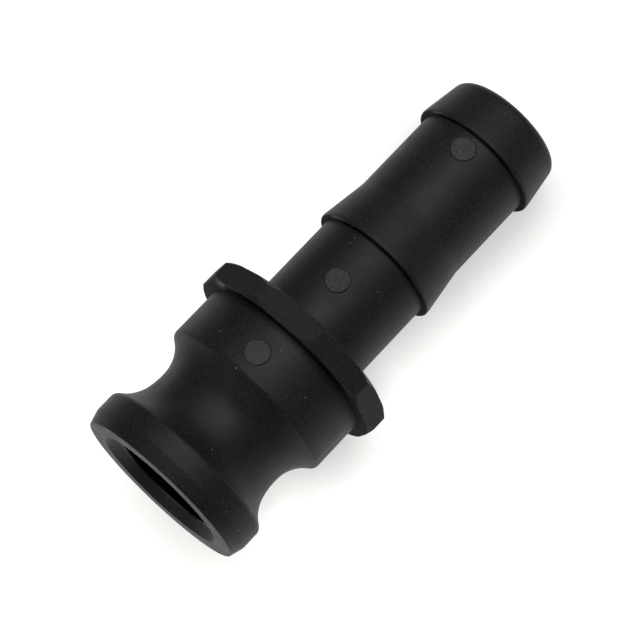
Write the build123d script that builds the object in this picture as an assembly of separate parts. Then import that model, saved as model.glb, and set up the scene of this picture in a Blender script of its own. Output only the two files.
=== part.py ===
from build123d import *
import os

# Cam-and-groove male adapter with a barbed hose shank, 1 inch size, injection moulded in one piece.
# Millimetres. The axis of flow is X: the cam nose's face lies in the plane x = 0 and faces -X, and the hose tail
# points to +X. The mould opens along Z, so the ejector-pin marks are on the +Z side and the parting plane is XY.

# cam nose: the end that goes into the mating coupler
nose_r = 18.35            # lip land, half of 36.7 mm, the 1 inch cam-and-groove size
nose_face_r = 17.55       # outer edge of the sealing face
nose_chamfer_len = 2.75   # axial length of the lead-in chamfer behind the face
face_edge_round = 0.25

# cam groove: the waist that the coupler's cam arms press into, a section of three tangent arcs
groove_x = 15.60          # axial position of the waist
groove_bottom_r = 14.20   # radius at the bottom of the waist
groove_arc_r = 15.35      # radius of the section at the waist
lip_flank_x = 12.24       # where the waist's arc meets the flank on the lip's side
lip_flank_arc_r = 8.52
body_flank_x = 16.40      # where it meets the flank on the body's side
body_flank_arc_r = 8.04
lip_groove_round = 1.30
body_groove_round = 1.00

# body between the groove and the collar
body_r = 18.02

# ten-sided collar with its corners chamfered on both faces, like a nut
collar_x0 = 33.58
collar_x1 = 38.38
collar_sides = 10
collar_corner_r = 21.42   # half the distance across corners
collar_face_r = 20.45     # where the chamfer meets the face; the middles of the flats run right to the face
collar_chamfer_len = 0.95 # axial length of the chamfer at a corner

# hose shank with two barbs
shank_r = 12.12
barb_crest_r = 13.42      # first barb
barb2_crest_r = 13.36
barb_land = 0.80          # axial length of the crest's cylinder
barb_edge_round = 0.28
barb_face_round = 0.42    # the corner between a barb's face and its crest
barb1_x = 58.35           # face of the first barb, on its nose side
barb1_end_x = 68.40       # where the first barb's taper meets the shank
barb2_x = 86.80
tail_r = 12.22            # radius where the second barb's taper ends
tail_taper_end_x = 94.90
tail_round = 1.90
length = 96.85            # nose face to hose tail

# waterway
mouth_r = 13.70           # edge of the countersink on the nose face
nose_bore_r = 12.00
countersink_len = 2.18
nose_bore_end_x = 33.30   # the bore steps down inside the collar
step_len = 2.60
shank_bore_r = 9.30
tail_bore_chamfer = 0.50

# ejector-pin marks: flat round pads that stand just proud of the curved wall
pin_mark_r = 2.40
pin_mark_proud = 0.04
pin_mark_x = (27.39, 48.63, 83.43)
pin_mark_wall_r = (body_r, shank_r, shank_r)


def flank(x, radius):
    """Centre of the arc that carries the groove's section on from the waist's arc, tangent to it at x."""
    centre_r = groove_bottom_r + groove_arc_r
    r = centre_r - (groove_arc_r**2 - (x - groove_x) ** 2) ** 0.5
    nx, nr = (groove_x - x) / groove_arc_r, (centre_r - r) / groove_arc_r
    return (x, r), (x + nx * radius, r + nr * radius)


def on_arc(centre, radius, x):
    """The point of an arc at x, on the side nearer to the axis."""
    return (x, centre[1] - (radius**2 - (x - centre[0]) ** 2) ** 0.5)


lip_join, lip_centre = flank(lip_flank_x, lip_flank_arc_r)
body_join, body_centre = flank(body_flank_x, body_flank_arc_r)
groove_in = lip_centre[0] - (lip_flank_arc_r**2 - (lip_centre[1] - nose_r) ** 2) ** 0.5
groove_out = body_centre[0] + (body_flank_arc_r**2 - (body_centre[1] - body_r) ** 2) ** 0.5

# the wall's outer profile, from the nose face to the hose tail, closed along the axis
with BuildSketch(Plane.XY) as outer:
    with BuildLine():
        Line((0, 0), (0, nose_face_r))
        Line((0, nose_face_r), (nose_chamfer_len, nose_r))
        Line((nose_chamfer_len, nose_r), (groove_in, nose_r))
        ThreePointArc((groove_in, nose_r), on_arc(lip_centre, lip_flank_arc_r, 9.3), lip_join)
        ThreePointArc(lip_join, (groove_x, groove_bottom_r), body_join)
        ThreePointArc(body_join, on_arc(body_centre, body_flank_arc_r, 19.8), (groove_out, body_r))
        Polyline(
            (groove_out, body_r),
            (collar_x0 + 1.0, body_r),
            (collar_x0 + 1.0, shank_r),
            (barb1_x, shank_r),
            (barb1_x, barb_crest_r),
            (barb1_x + barb_land, barb_crest_r),
            (barb1_end_x, shank_r),
            (barb2_x, shank_r),
            (barb2_x, barb2_crest_r),
            (barb2_x + barb_land, barb2_crest_r),
            (tail_taper_end_x, tail_r),
            (length, tail_r - 0.08),
            (length, 0),
            (0, 0),
        )
    make_face()

    def at(x, r):
        """The corner of the profile nearest to the point (x, r)."""
        return sorted(outer.vertices(), key=lambda v: (v.X - x) ** 2 + (v.Y - r) ** 2)[:1]

    fillet(at(0, nose_face_r), face_edge_round)
    fillet(at(nose_chamfer_len, nose_r), 1.5)
    fillet(at(groove_in, nose_r), lip_groove_round)
    fillet(at(groove_out, body_r), body_groove_round)
    fillet(at(barb1_x, barb_crest_r), barb_face_round)
    fillet(at(barb1_x + barb_land, barb_crest_r), barb_edge_round)
    fillet(at(barb2_x, barb2_crest_r), barb_face_round)
    fillet(at(barb2_x + barb_land, barb2_crest_r), barb_edge_round)
    fillet(at(length, tail_r - 0.08), tail_round - 0.15)

wall = revolve(outer.sketch, axis=Axis.X, revolution_arc=360)

# the collar: a ten-sided prism trimmed by a turned profile that chamfers its corners on both faces
with BuildSketch(Plane.YZ.offset(collar_x0)) as decagon:
    RegularPolygon(radius=collar_corner_r, side_count=collar_sides, major_radius=True)
prism = extrude(decagon.sketch, amount=collar_x1 - collar_x0)
with BuildSketch(Plane.XY) as trim:
    Polygon(
        (collar_x0, 0),
        (collar_x0, collar_face_r),
        (collar_x0 + collar_chamfer_len, collar_corner_r + 0.05),
        (collar_x1 - collar_chamfer_len, collar_corner_r + 0.05),
        (collar_x1, collar_face_r),
        (collar_x1, 0),
        align=None,
    )
collar = prism & revolve(trim.sketch, axis=Axis.X, revolution_arc=360)

# the waterway, cut right through
with BuildSketch(Plane.XY) as bore:
    Polygon(
        (-1.0, 0),
        (-1.0, mouth_r + (mouth_r - nose_bore_r) / countersink_len),
        (countersink_len, nose_bore_r),
        (nose_bore_end_x, nose_bore_r),
        (nose_bore_end_x + step_len, shank_bore_r),
        (length - tail_bore_chamfer, shank_bore_r),
        (length + 1.0, shank_bore_r + tail_bore_chamfer + 1.0),
        (length + 1.0, 0),
        align=None,
    )
waterway = revolve(bore.sketch, axis=Axis.X, revolution_arc=360)

# ejector-pin marks on the +Z side
pads = []
for x, r in zip(pin_mark_x, pin_mark_wall_r):
    pads.append(Pos(x, 0, r - 1.5) * Cylinder(pin_mark_r, 1.5 + pin_mark_proud, align=(Align.CENTER, Align.CENTER, Align.MIN)))

adapter_body = wall + collar
for pad in pads:
    adapter_body = adapter_body + pad
adapter_body = adapter_body - waterway
adapter_body = adapter_body.solids()[0] if len(adapter_body.solids()) == 1 else adapter_body
adapter_body.label = "adapter_body"

os.makedirs("parts", exist_ok=True)
export_step(adapter_body, "parts/adapter_body.step")

box = adapter_body.bounding_box()
print("adapter_body", "solids", len(adapter_body.solids()), "volume mm3", round(adapter_body.volume, 1))
print("size mm", [round(v, 3) for v in (box.size.X, box.size.Y, box.size.Z)])
print("min", [round(v, 3) for v in (box.min.X, box.min.Y, box.min.Z)], "max", [round(v, 3) for v in (box.max.X, box.max.Y, box.max.Z)])
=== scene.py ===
import math

import bpy
import numpy as np
from mathutils import Matrix, Vector


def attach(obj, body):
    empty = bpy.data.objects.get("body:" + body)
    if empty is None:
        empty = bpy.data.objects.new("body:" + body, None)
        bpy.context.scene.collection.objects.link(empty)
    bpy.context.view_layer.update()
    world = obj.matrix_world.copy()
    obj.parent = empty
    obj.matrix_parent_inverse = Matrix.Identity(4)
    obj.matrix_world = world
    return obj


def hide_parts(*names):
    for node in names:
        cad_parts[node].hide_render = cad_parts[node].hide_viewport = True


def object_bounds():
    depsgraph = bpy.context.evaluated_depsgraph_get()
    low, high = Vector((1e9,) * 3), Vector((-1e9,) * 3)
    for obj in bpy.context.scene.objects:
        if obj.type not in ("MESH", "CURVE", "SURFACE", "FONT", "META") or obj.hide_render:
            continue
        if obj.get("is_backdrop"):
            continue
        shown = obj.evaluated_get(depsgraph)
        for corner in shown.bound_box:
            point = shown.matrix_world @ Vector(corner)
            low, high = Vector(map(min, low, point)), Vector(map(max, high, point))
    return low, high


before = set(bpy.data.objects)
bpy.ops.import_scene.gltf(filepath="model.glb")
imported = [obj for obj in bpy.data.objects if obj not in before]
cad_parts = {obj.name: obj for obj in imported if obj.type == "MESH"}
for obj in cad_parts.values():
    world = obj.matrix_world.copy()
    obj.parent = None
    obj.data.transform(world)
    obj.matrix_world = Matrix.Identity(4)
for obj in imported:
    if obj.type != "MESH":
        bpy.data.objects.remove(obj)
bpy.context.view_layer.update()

# The fitting is one moulding: a cam-and-groove nose, a ten-sided collar and a barbed hose shank on the axis +X.
# Its visible skin is rebuilt here as one closed mesh, finer than the CAD mesh, with rounded edges, ejector-pin marks
# and a parting line. Sizes below are millimetres; the mesh is written in metres.
MM = 0.001

# ---------------------------------------------------------------- dimensions, as in the CAD
NOSE_R, NOSE_FACE_R, NOSE_CHAMFER = 18.35, 17.55, 2.75
GROOVE_X, GROOVE_BOTTOM, GROOVE_ARC = 15.60, 14.20, 15.35
LIP_FLANK_X, LIP_FLANK_ARC = 12.24, 8.52
BODY_FLANK_X, BODY_FLANK_ARC = 16.40, 8.04
BODY_R = 18.02
COLLAR_X0, COLLAR_X1 = 33.58, 38.38
COLLAR_CORNER, COLLAR_FACE, COLLAR_CHAMFER = 21.42, 20.45, 0.95
SHANK_R, CREST_R, CREST2_R, LAND = 12.12, 13.42, 13.36, 0.80
BARB1, BARB1_END, BARB2 = 58.35, 68.40, 86.80
TAIL_R, TAIL_X, LENGTH = 12.22, 94.90, 96.85
MOUTH_R, NOSE_BORE, COUNTERSINK = 13.70, 12.00, 2.18
BORE_END, STEP, SHANK_BORE, TAIL_CHAMFER = 33.30, 2.60, 9.30, 0.50
PADS = ((27.39, BODY_R), (48.63, SHANK_R), (83.43, SHANK_R))
PAD_R, PAD_PROUD = 2.40, 0.04
APOTHEM = COLLAR_CORNER * math.cos(math.radians(18))


# ---------------------------------------------------------------- the section at one angle
def unit(a, b):
    d = (b[0] - a[0], b[1] - a[1])
    n = math.hypot(*d)
    return (d[0] / n, d[1] / n)


def fillet(p, d1, d2, f, n):
    """Points of a round of radius f at corner p, between the directions d1 in and d2 out."""
    turn = math.atan2(d1[0] * d2[1] - d1[1] * d2[0], d1[0] * d2[0] + d1[1] * d2[1])
    length = f * abs(math.tan(turn / 2))
    s = 1 if turn > 0 else -1
    a = (p[0] - d1[0] * length, p[1] - d1[1] * length)
    c = (a[0] - s * d1[1] * f, a[1] + s * d1[0] * f)
    out = []
    for i in range(n + 1):
        t = turn * i / n
        vx, vy = a[0] - c[0], a[1] - c[1]
        out.append((c[0] + vx * math.cos(t) - vy * math.sin(t), c[1] + vx * math.sin(t) + vy * math.cos(t)))
    return out


def between(a, b, step, ends=0.12):
    """Points strictly between a and b, no further apart than step, with one close to each end so that a flat stays flat."""
    d = math.hypot(b[0] - a[0], b[1] - a[1])
    if d < 2.2 * ends:
        return []
    ts = [ends / d]
    n = max(1, math.ceil((d - 2 * ends) / step))
    ts += [(ends + (d - 2 * ends) * i / n) / d for i in range(1, n)]
    ts.append(1 - ends / d)
    return [(a[0] + (b[0] - a[0]) * t, a[1] + (b[1] - a[1]) * t) for t in ts]


def arc_points(c, r, a0, a1, n):
    return [(c[0] + r * math.cos(a0 + (a1 - a0) * i / n), c[1] + r * math.sin(a0 + (a1 - a0) * i / n)) for i in range(n + 1)]


def angle_from(c, p):
    return math.atan2(p[1] - c[1], p[0] - c[0])


def flank(x, radius):
    """Centre of the arc that carries the groove's section on from the waist's arc, tangent to it at x."""
    cr = GROOVE_BOTTOM + GROOVE_ARC
    r = cr - math.sqrt(GROOVE_ARC**2 - (x - GROOVE_X) ** 2)
    return (x, r), (x + (GROOVE_X - x) / GROOVE_ARC * radius, r + (cr - r) / GROOVE_ARC * radius)


def shoulder(c, R, top, f, side, n):
    """Points of the round of radius f between the cylinder r = top and the groove's flank, in order along the axis."""
    fx = c[0] + side * math.sqrt((R + f) ** 2 - (c[1] - top + f) ** 2)
    pts = arc_points((fx, top - f), f, math.pi / 2, math.atan2(c[1] - top + f, c[0] - fx), n)
    return pts if side < 0 else pts[::-1]


def collar_radius(phi):
    """The collar's outer radius at angle phi from +Y, with its long edges slightly rounded."""
    corner = math.radians(36) * round(phi / math.radians(36))
    psi = abs(phi - corner)
    q = 0.30
    D = (APOTHEM - q) / math.cos(math.radians(18))
    limit = math.atan2(q * math.sin(math.radians(18)), D + q * math.cos(math.radians(18)))
    if psi <= limit:
        return D * math.cos(psi) + math.sqrt(q * q - (D * math.sin(psi)) ** 2)
    return APOTHEM / math.cos(math.radians(18) - psi)


def section(phi):
    """The closed section at angle phi, as (x, r), always with the same number of points."""
    pts = []

    def line_to(corner_pts, step):
        """Joins the last point to the next corner's first point."""
        if pts:
            pts.extend(between(pts[-1], corner_pts[0], step))
        pts.extend(corner_pts)

    # nose face and lip
    cs = unit((0, MOUTH_R), (COUNTERSINK, NOSE_BORE))
    line_to(fillet((0, MOUTH_R), (-cs[0], -cs[1]), (0, 1), 0.22, 4), 1.0)
    nose = unit((0, NOSE_FACE_R), (NOSE_CHAMFER, NOSE_R))
    line_to(fillet((0, NOSE_FACE_R), (0, 1), nose, 0.28, 6), 0.9)
    line_to(fillet((NOSE_CHAMFER, NOSE_R), nose, (1, 0), 2.0, 4), 0.7)
    # groove
    waist = (GROOVE_X, GROOVE_BOTTOM + GROOVE_ARC)
    lip_join, lip_c = flank(LIP_FLANK_X, LIP_FLANK_ARC)
    body_join, body_c = flank(BODY_FLANK_X, BODY_FLANK_ARC)
    f = shoulder(lip_c, LIP_FLANK_ARC, NOSE_R, 1.3, -1, 9)
    g = shoulder(body_c, BODY_FLANK_ARC, BODY_R, 1.0, 1, 8)
    line_to(f, 0.8)
    pts.extend(arc_points(lip_c, LIP_FLANK_ARC, angle_from(lip_c, f[-1]), angle_from(lip_c, lip_join), 18)[1:])
    pts.extend(arc_points(waist, GROOVE_ARC, angle_from(waist, lip_join), angle_from(waist, body_join), 8)[1:])
    pts.extend(arc_points(body_c, BODY_FLANK_ARC, angle_from(body_c, body_join), angle_from(body_c, g[0]), 20)[1:-1])
    pts.extend(g)
    # body and collar, whose chamfers meet the flats in scallops
    line_to([(COLLAR_X0, BODY_R)], 0.7)
    rho = collar_radius(phi)
    slope = (COLLAR_CORNER + 0.05 - COLLAR_FACE) / COLLAR_CHAMFER
    cone = unit((0, 0), (1, slope))
    c = max(0.11, (rho - COLLAR_FACE) / slope)
    face_r = rho - c * slope
    q = min(0.13, 0.09 + 0.2 * (c - 0.11))
    line_to(fillet((COLLAR_X0, face_r), (0, 1), cone, q, 2), 0.8)
    k = fillet((COLLAR_X0 + c, rho), cone, (1, 0), q, 3)
    a = pts[-1]
    pts.extend([(a[0] + (k[0][0] - a[0]) * t, a[1] + (k[0][1] - a[1]) * t) for t in (0.2, 0.5, 0.8)])
    pts.extend(k)
    k2 = fillet((COLLAR_X1 - c, rho), (1, 0), (cone[0], -cone[1]), q, 3)
    a = pts[-1]
    pts.extend([(a[0] + (k2[0][0] - a[0]) * t, a[1]) for t in (0.04, 0.2, 0.4, 0.6, 0.8, 0.96)])
    pts.extend(k2)
    k3 = fillet((COLLAR_X1, face_r), (cone[0], -cone[1]), (0, -1), q, 2)
    a = pts[-1]
    pts.extend([(a[0] + (k3[0][0] - a[0]) * t, a[1] + (k3[0][1] - a[1]) * t) for t in (0.2, 0.5, 0.8)])
    pts.extend(k3)
    line_to([(COLLAR_X1, SHANK_R)], 1.2)
    # barbs
    for x0, crest, end in ((BARB1, CREST_R, (BARB1_END, SHANK_R)), (BARB2, CREST2_R, (TAIL_X, TAIL_R))):
        taper = unit((x0 + LAND, crest), end)
        line_to([(x0, SHANK_R)], 0.7)
        line_to(fillet((x0, crest), (0, 1), (1, 0), 0.42, 8), 0.4)
        line_to(fillet((x0 + LAND, crest), (1, 0), taper, 2.5, 3), 0.4)
        if end[0] == BARB1_END:
            line_to(fillet(end, taper, (1, 0), 6.0, 4), 0.7)
    # tail end, and the waterway back to the mouth
    line_to(fillet((LENGTH, TAIL_R - 0.20), unit((BARB2 + LAND, CREST2_R), (LENGTH, TAIL_R - 0.20)), (0, -1), 1.95, 10), 0.7)
    ch = unit((LENGTH, SHANK_BORE + TAIL_CHAMFER), (LENGTH - TAIL_CHAMFER, SHANK_BORE))
    line_to(fillet((LENGTH, SHANK_BORE + TAIL_CHAMFER), (0, -1), ch, 0.12, 2), 0.5)
    line_to(fillet((LENGTH - TAIL_CHAMFER, SHANK_BORE), ch, (-1, 0), 0.12, 2), 0.5)
    st = unit((BORE_END + STEP, SHANK_BORE), (BORE_END, NOSE_BORE))
    line_to(fillet((BORE_END + STEP, SHANK_BORE), (-1, 0), st, 0.4, 3), 3.0)
    line_to(fillet((BORE_END, NOSE_BORE), st, (-1, 0), 0.4, 3), 1.0)
    line_to(fillet((COUNTERSINK, NOSE_BORE), (-1, 0), (-cs[0], -cs[1]), 0.15, 3), 2.0)
    pts.extend(between(pts[-1], pts[0], 0.5))
    return pts


# ---------------------------------------------------------------- angles: finer at the collar's edges, the pin marks and the parting line
angles = set(round(i * 1.2, 4) for i in range(300))
for k in range(10):
    for d in (0.0, 0.1, 0.2, 0.32, 0.5, 0.8):
        angles.add(round((36 * k + d) % 360, 4))
        angles.add(round((36 * k - d) % 360, 4))
for i in range(int(27 / 0.24) + 1):
    angles.add(round(76.5 + 0.24 * i, 4))
for c in (0.0, 180.0):
    for i in range(-8, 9):
        angles.add(round((c + 0.1 * i) % 360, 4))
angles = sorted(angles)
keep = [angles[0]]
for a in angles[1:]:
    if a - keep[-1] > 0.06:
        keep.append(a)
phis = [math.radians(a) for a in keep]

base = np.array([section(p) for p in phis])  # angles x points x 2
# more rings where the pin marks are, on the outer wall
mean_x = base[0, :, 0]
outer = base[0, :, 1] > 11.9
rings = []
n_sec = base.shape[1]
for j in range(n_sec):
    rings.append((j, 0.0))
    jn = (j + 1) % n_sec
    if not (outer[j] and outer[jn]) or mean_x[jn] <= mean_x[j]:
        continue
    for px, pr in PADS:
        lo, hi = max(mean_x[j], px - 2.85), min(mean_x[jn], px + 2.85)
        if hi > lo and abs(base[0, j, 1] - pr) < 0.05 and abs(base[0, jn, 1] - pr) < 0.05:
            n = math.ceil((hi - lo) / 0.075)
            for i in range(n + 1):
                t = (lo + (hi - lo) * i / n - mean_x[j]) / (mean_x[jn] - mean_x[j])
                if 0.02 < t < 0.98:
                    rings.append((j, t))
rings = sorted(set(rings))
J = np.array([r[0] for r in rings])
T = np.array([r[1] for r in rings])[None, :, None]
grid = base[:, J, :] * (1 - T) + base[:, (J + 1) % n_sec, :] * T
X = grid[:, :, 0]
Rr = grid[:, :, 1].copy()
PH = np.array(phis)[:, None]
outside = np.array([outer[j] for j in J])[None, :] & (Rr > 11.9)


def smooth(e0, e1, v):
    t = np.clip((v - e0) / (e1 - e0), 0, 1)
    return t * t * (3 - 2 * t)


# ejector-pin marks: a flat disc across the curved wall, with a fine witness ring round it
up_side = np.sin(PH) > 0.9
for px, pr in PADS:
    near = (np.abs(X - px) < 3.2) & outside & up_side & (np.abs(Rr - pr) < 0.1)
    y = Rr * np.cos(PH)
    d = np.hypot(X - px, y)
    flat = (pr + PAD_PROUD) / np.maximum(np.sin(PH), 0.5)
    inside = 1 - smooth(PAD_R - 0.10, PAD_R + 0.0, d)
    ring = np.exp(-(((d - PAD_R - 0.05) / 0.06) ** 2)) * 0.045
    Rr = np.where(near, Rr + (flat - Rr) * inside - ring * (1 - inside), Rr)

# parting line: a trace of flash where the mould's halves met, at +Y and -Y
for c in (0.0, math.pi, 2 * math.pi):
    s = (PH - c) * Rr
    on_wall = outside & ((X < COLLAR_X0 - 0.1) | (X > COLLAR_X1 + 0.1)) & (X > 0.25) & (X < LENGTH - 0.4)
    Rr = np.where(on_wall, Rr + 0.035 * np.exp(-((s / 0.07) ** 2)), Rr)

co = np.stack([X, Rr * np.cos(PH), Rr * np.sin(PH)], axis=-1).reshape(-1, 3) * MM
na, nr = X.shape
ia, ir = np.meshgrid(np.arange(na), np.arange(nr), indexing="ij")
ja, jr = (ia + 1) % na, (ir + 1) % nr
quads = np.stack([ia * nr + ir, ia * nr + jr, ja * nr + jr, ja * nr + ir], axis=-1).reshape(-1, 4)

mesh = bpy.data.meshes.new("adapter_skin")
mesh.from_pydata(co.tolist(), [], quads.tolist())
mesh.validate()
mesh.update()
vol = 0.0
tri = np.concatenate([quads[:, [0, 1, 2]], quads[:, [0, 2, 3]]])
vol = float(np.einsum("ij,ij->i", co[tri[:, 0]], np.cross(co[tri[:, 1]], co[tri[:, 2]])).sum() / 6)
if vol < 0:
    mesh.flip_normals()
mesh.polygons.foreach_set("use_smooth", [True] * len(mesh.polygons))
mesh.set_sharp_from_angle(angle=math.radians(50))  # only the two inside corners at the collar and the barbs are sharp
skin = bpy.data.objects.new("adapter_skin", mesh)
bpy.context.scene.collection.objects.link(skin)
print("skin: verts", len(mesh.vertices), "faces", len(mesh.polygons), "volume mm3", round(abs(vol) * 1e9, 1))

# ---------------------------------------------------------------- material: black glass-filled polypropylene
mat = bpy.data.materials.new("black_polypropylene")
mat.use_nodes = True
nt = mat.node_tree
N, L = nt.nodes, nt.links
N.clear()
out = N.new("ShaderNodeOutputMaterial")
bsdf = N.new("ShaderNodeBsdfPrincipled")
L.new(bsdf.outputs[0], out.inputs[0])
bsdf.inputs["IOR"].default_value = 1.47
bsdf.inputs["Specular IOR Level"].default_value = 0.25


def node(kind, **kw):
    n = N.new(kind)
    for k, v in kw.items():
        if k in n.inputs:
            n.inputs[k].default_value = v
        else:
            setattr(n, k, v)
    return n


def math_node(op, a, b=None, c=None, clamp=False):
    n = N.new("ShaderNodeMath")
    n.operation = op
    n.use_clamp = clamp
    for i, v in enumerate((a, b, c)):
        if v is None:
            continue
        if isinstance(v, (int, float)):
            n.inputs[i].default_value = v
        else:
            L.new(v, n.inputs[i])
    return n.outputs[0]


def ramp(value, lo, hi, to0=0.0, to1=1.0):
    n = N.new("ShaderNodeMapRange")
    n.interpolation_type = "SMOOTHSTEP"
    L.new(value, n.inputs["Value"])
    n.inputs["From Min"].default_value = lo
    n.inputs["From Max"].default_value = hi
    n.inputs["To Min"].default_value = to0
    n.inputs["To Max"].default_value = to1
    return n.outputs[0]


coord = N.new("ShaderNodeTexCoord")
pos = coord.outputs["Object"]


def noise(scale, detail=2.0, rough=0.5, stretch=None):
    src = pos
    if stretch:
        m = N.new("ShaderNodeMapping")
        m.inputs["Scale"].default_value = stretch
        L.new(pos, m.inputs["Vector"])
        src = m.outputs[0]
    n = N.new("ShaderNodeTexNoise")
    n.inputs["Scale"].default_value = scale
    n.inputs["Detail"].default_value = detail
    n.inputs["Roughness"].default_value = rough
    L.new(src, n.inputs["Vector"])
    return n.outputs["Fac"]


grain = noise(3600, 2.0, 0.65)           # spark-eroded mould texture, about 0.25 mm
cloud = noise(160, 3.0, 0.55)            # faint mottling, about 6 mm
flow = noise(420, 3.0, 0.6, (0.35, 1, 1))  # glass-fibre flow marks, drawn out along the axis
fine = noise(1300, 2.0, 0.55)            # orange peel, about 0.8 mm

# pin marks: distance from each mark's axis, on the +Z side, for each mark and the ring of painted shade round it
sep = N.new("ShaderNodeSeparateXYZ")
L.new(pos, sep.inputs[0])
marks = None
ring_painted_shade = None
for px, pr in PADS:
    dx = math_node("SUBTRACT", sep.outputs[0], px * MM)
    d2 = math_node("ADD", math_node("MULTIPLY", dx, dx), math_node("MULTIPLY", sep.outputs[1], sep.outputs[1]))
    d = math_node("SQRT", d2)
    m = ramp(d, (PAD_R - 0.10) * MM, (PAD_R - 0.02) * MM, 1.0, 0.0)
    w = math_node("ABSOLUTE", math_node("SUBTRACT", d, (PAD_R + 0.06) * MM))
    r = ramp(w, 0.05 * MM, 0.14 * MM, 1.0, 0.0)
    marks = m if marks is None else math_node("MAXIMUM", marks, m)
    ring_painted_shade = r if ring_painted_shade is None else math_node("MAXIMUM", ring_painted_shade, r)
upper = ramp(sep.outputs[2], 10.5 * MM, 11.2 * MM)
marks = math_node("MULTIPLY", marks, upper)
ring_painted_shade = math_node("MULTIPLY", ring_painted_shade, upper)

# specks: bare glass fibre and dust, sparse light points
vor = N.new("ShaderNodeTexVoronoi")
vor.inputs["Scale"].default_value = 620
vor.inputs["Randomness"].default_value = 1.0
L.new(pos, vor.inputs["Vector"])
speck_size = ramp(noise(900, 1.0, 0.5), 0.44, 0.72, 0.0, 0.16)
specks = math_node("LESS_THAN", vor.outputs["Distance"], speck_size)
chance = N.new("ShaderNodeTexWhiteNoise")
L.new(vor.outputs["Position"], chance.inputs["Vector"])
specks = math_node("MULTIPLY", specks, ramp(chance.outputs["Value"], 0.50, 0.92))

# the bore, the nose-facing steps and the collar's flats came off polished steel; the rest off spark-eroded steel. The
# bore and the nose-facing steps are also painted near-black in the colour, as painted shade in the hollow and on the
# shaded steps
axis2 = math_node("ADD", math_node("MULTIPLY", sep.outputs[1], sep.outputs[1]), math_node("MULTIPLY", sep.outputs[2], sep.outputs[2]))
axis = math_node("SQRT", axis2)
sepn = N.new("ShaderNodeSeparateXYZ")
L.new(coord.outputs["Normal"], sepn.inputs[0])
faces_nose = ramp(sepn.outputs[0], -0.85, -0.55, 1.0, 0.0)
behind = ramp(sep.outputs[0], 30.0 * MM, 31.0 * MM)
steps = math_node("MULTIPLY", faces_nose, behind)
bore = math_node("MULTIPLY", ramp(axis, (NOSE_BORE + 0.05) * MM, (NOSE_BORE + 0.35) * MM, 1.0, 0.0), ramp(sep.outputs[0], 36.5 * MM, 37.5 * MM, 1.0, 0.0))
bore = math_node("MAXIMUM", bore, ramp(axis, (SHANK_BORE + 0.05) * MM, (SHANK_BORE + 0.35) * MM, 1.0, 0.0))
painted_shade_bore_steps = math_node("MAXIMUM", bore, steps)
flats = math_node("MULTIPLY", ramp(axis, (APOTHEM - 0.25) * MM, (APOTHEM - 0.05) * MM), ramp(math_node("ABSOLUTE", sepn.outputs[0]), 0.1, 0.3, 1.0, 0.0))

# colour
def mix(fac, a, b):
    m = N.new("ShaderNodeMix"); m.data_type = "RGBA"
    for name, v in (("A", a), ("B", b)):
        if isinstance(v, tuple):
            m.inputs[name].default_value = v + (1,)
        else:
            L.new(v, m.inputs[name])
    L.new(fac, m.inputs["Factor"])
    return m.outputs["Result"]


col = mix(math_node("ADD", math_node("MULTIPLY", cloud, 0.5), math_node("MULTIPLY", flow, 0.5)), (0.0044, 0.0045, 0.0056), (0.0112, 0.0113, 0.0130))
col = mix(ramp(grain, 0.45, 0.78), col, (0.0230, 0.0232, 0.0255))
col = mix(ramp(grain, 0.50, 0.24), col, (0.0012, 0.0012, 0.0015))
pad_col = mix(ramp(grain, 0.35, 0.65), (0.0170, 0.0175, 0.0195), (0.0600, 0.0605, 0.0630))
col = mix(marks, col, pad_col)
# painted shade: a dark line painted round each pin mark, for the shade in its witness ring groove
col = mix(math_node("MULTIPLY", ring_painted_shade, 0.55), col, (0.002, 0.002, 0.002))
# painted shade: the bore and the nose-facing steps are painted near-black, where shade falls in the hollow and on the
# steps
col = mix(painted_shade_bore_steps, col, (0.0009, 0.0009, 0.0010))
col = mix(specks, col, (0.085, 0.085, 0.082))
L.new(col, bsdf.inputs["Base Color"])

# roughness
rough = math_node("ADD", ramp(cloud, 0.3, 0.7, 0.50, 0.56), math_node("MULTIPLY", math_node("SUBTRACT", flow, 0.5), 0.10))
rough = math_node("ADD", rough, math_node("MULTIPLY", math_node("SUBTRACT", grain, 0.5), 0.30))
rough = math_node("ADD", rough, math_node("MULTIPLY", marks, 0.12), clamp=True)
rough = math_node("SUBTRACT", rough, math_node("MULTIPLY", bore, math_node("SUBTRACT", rough, 0.16)))
ends = ramp(math_node("DIVIDE", math_node("ABSOLUTE", sep.outputs[1]), axis), 0.66, 0.88, 0.20, 0.85)
rough = math_node("SUBTRACT", rough, math_node("MULTIPLY", steps, math_node("SUBTRACT", rough, ends)))
rough = math_node("SUBTRACT", rough, math_node("MULTIPLY", flats, math_node("SUBTRACT", rough, 0.68)))
L.new(rough, bsdf.inputs["Roughness"])

# relief
height = math_node("ADD", math_node("MULTIPLY", grain, 0.6), math_node("MULTIPLY", fine, 0.5))
height = math_node("ADD", height, math_node("MULTIPLY", math_node("MULTIPLY", marks, noise(2600, 2.0, 0.7)), 0.8))
bump = N.new("ShaderNodeBump")
bump.inputs["Strength"].default_value = 1.0
bump.inputs["Distance"].default_value = 0.00008
L.new(height, bump.inputs["Height"])
L.new(bump.outputs[0], bsdf.inputs["Normal"])

mesh.materials.append(mat)
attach(skin, "root")
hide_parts("adapter_body")

# ---------------------------------------------------------------- camera
cam_data = bpy.data.cameras.new("camera")
cam_data.lens = 135.0
cam_data.sensor_width = 36.0
cam_data.clip_start, cam_data.clip_end = 0.01, 20.0
cam = bpy.data.objects.new("camera", cam_data)
bpy.context.scene.collection.objects.link(cam)
back = Vector((-0.23328, -0.23466, 0.94367)).normalized()
upv = Vector((0.70388, 0.62881, 0.33037))
upv = (upv - back * upv.dot(back)).normalized()
right = upv.cross(back)
cam.matrix_world = Matrix((
    (right.x, upv.x, back.x, -0.060626),
    (right.y, upv.y, back.y, -0.104775),
    (right.z, upv.z, back.z, 0.42239),
    (0, 0, 0, 1),
))
bpy.context.scene.camera = cam

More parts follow.
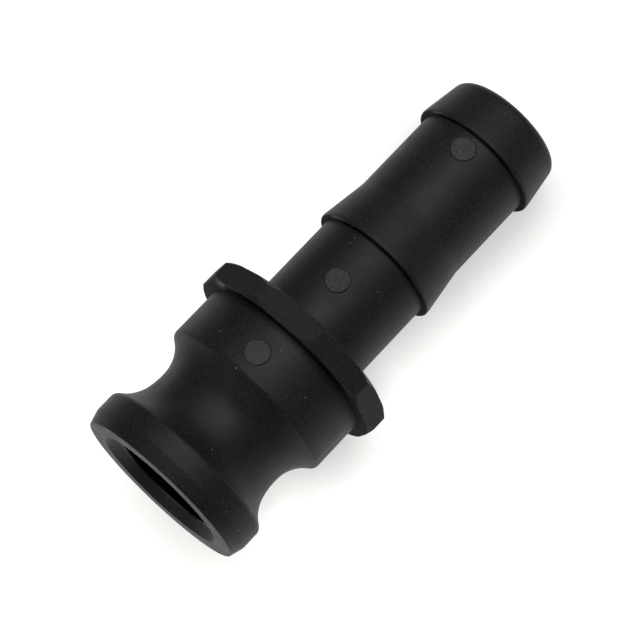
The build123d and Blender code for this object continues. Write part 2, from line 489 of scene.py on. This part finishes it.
# ---------------------------------------------------------------- floor: the part leans on its collar and its last barb
p1 = Vector((COLLAR_X1 - 0.1, 0, -APOTHEM)) * MM
p2 = Vector((BARB2 + 0.5, 0, -CREST2_R)) * MM
along = (p2 - p1).normalized()
normal = Vector((-along.z, 0, along.x)).normalized()
side = 1.5
centre = (p1 + p2) / 2
fm = bpy.data.meshes.new("floor")
yv = Vector((0, 1, 0))
fm.from_pydata([tuple(centre + along * a * side + yv * b * side - normal * 0.00005) for a, b in ((-1, -1), (1, -1), (1, 1), (-1, 1))], [], [(0, 1, 2, 3)])
floor = bpy.data.objects.new("floor", fm)
bpy.context.scene.collection.objects.link(floor)
floor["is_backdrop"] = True
GLOW_NEAR, GLOW_FAR = 1.07, 0.14
fmat = bpy.data.materials.new("paper")
fmat.use_nodes = True
ft = fmat.node_tree
ft.nodes.clear()
fo = ft.nodes.new("ShaderNodeOutputMaterial")
fd = ft.nodes.new("ShaderNodeBsdfPrincipled")
fd.inputs["Base Color"].default_value = (0.13, 0.129, 0.126, 1)
fd.inputs["Roughness"].default_value = 0.95
fd.inputs["Specular IOR Level"].default_value = 0.0
fd.inputs["Emission Color"].default_value = (1.0, 0.995, 0.975, 1)
# the paper glows like a light table under the part and fades to the studio's grey further out
fc = ft.nodes.new("ShaderNodeNewGeometry")
fsub = ft.nodes.new("ShaderNodeVectorMath"); fsub.operation = "DISTANCE"
fsub.inputs[1].default_value = tuple(centre)
ft.links.new(fc.outputs["Position"], fsub.inputs[0])
fr = ft.nodes.new("ShaderNodeMapRange"); fr.interpolation_type = "SMOOTHSTEP"
fr.inputs["From Min"].default_value, fr.inputs["From Max"].default_value = 0.095, 0.20
fr.inputs["To Min"].default_value, fr.inputs["To Max"].default_value = GLOW_NEAR, GLOW_FAR
ft.links.new(fsub.outputs["Value"], fr.inputs["Value"])
# painted contact shadow: the floor's glow is dimmed by occlusion close round the part
fao = ft.nodes.new("ShaderNodeAmbientOcclusion")
fao.samples = 16
fao.inputs["Distance"].default_value = 0.013
floor_painted_shadow = ft.nodes.new("ShaderNodeMapRange")
floor_painted_shadow.inputs["From Min"].default_value, floor_painted_shadow.inputs["From Max"].default_value = 0.50, 1.0
floor_painted_shadow.inputs["To Min"].default_value, floor_painted_shadow.inputs["To Max"].default_value = 0.56, 1.0
ft.links.new(fao.outputs["AO"], floor_painted_shadow.inputs["Value"])
fmul = ft.nodes.new("ShaderNodeMath"); fmul.operation = "MULTIPLY"
ft.links.new(fr.outputs[0], fmul.inputs[0])
ft.links.new(floor_painted_shadow.outputs[0], fmul.inputs[1])
ft.links.new(fmul.outputs[0], fd.inputs["Emission Strength"])
ftr = ft.nodes.new("ShaderNodeBsdfTransparent")
fg = ft.nodes.new("ShaderNodeNewGeometry")
fmix = ft.nodes.new("ShaderNodeMixShader")
ft.links.new(fg.outputs["Backfacing"], fmix.inputs[0])
ft.links.new(fd.outputs[0], fmix.inputs[1])
ft.links.new(ftr.outputs[0], fmix.inputs[2])
ft.links.new(fmix.outputs[0], fo.inputs[0])
fm.materials.append(fmat)

# ---------------------------------------------------------------- light
def softbox(name, where, target, size, watts, colour=(1, 1, 1)):
    d = bpy.data.lights.new(name, "AREA")
    d.shape = "SQUARE"
    d.size = size
    d.energy = watts
    d.color = colour
    o = bpy.data.objects.new(name, d)
    bpy.context.scene.collection.objects.link(o)
    where, target = Vector(where), Vector(target)
    o.location = where
    o.rotation_mode = "QUATERNION"
    o.rotation_quaternion = (where - target).to_track_quat("Z", "Y")
    return o


mid = Vector((0.045, 0, 0))
softbox("key", mid + Vector((0.18, -0.02, 0.88)), mid, 0.60, 5.8, (0.985, 0.99, 1.02))
softbox("fill", mid + Vector((-0.54, 0.12, 0.16)), mid, 0.40, 0.65, (1.0, 0.99, 0.97))

# the studio round the part: even and dim
world = bpy.data.worlds.new("studio")
bpy.context.scene.world = world
world.use_nodes = True
bg = world.node_tree.nodes["Background"]
bg.inputs["Color"].default_value = (0.975, 0.985, 1.02, 1)
bg.inputs["Strength"].default_value = 0.12

bpy.context.scene.view_settings.view_transform = "Standard"
bpy.context.scene.view_settings.look = "None"
bpy.context.scene.view_settings.exposure = 0.0

lo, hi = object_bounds()
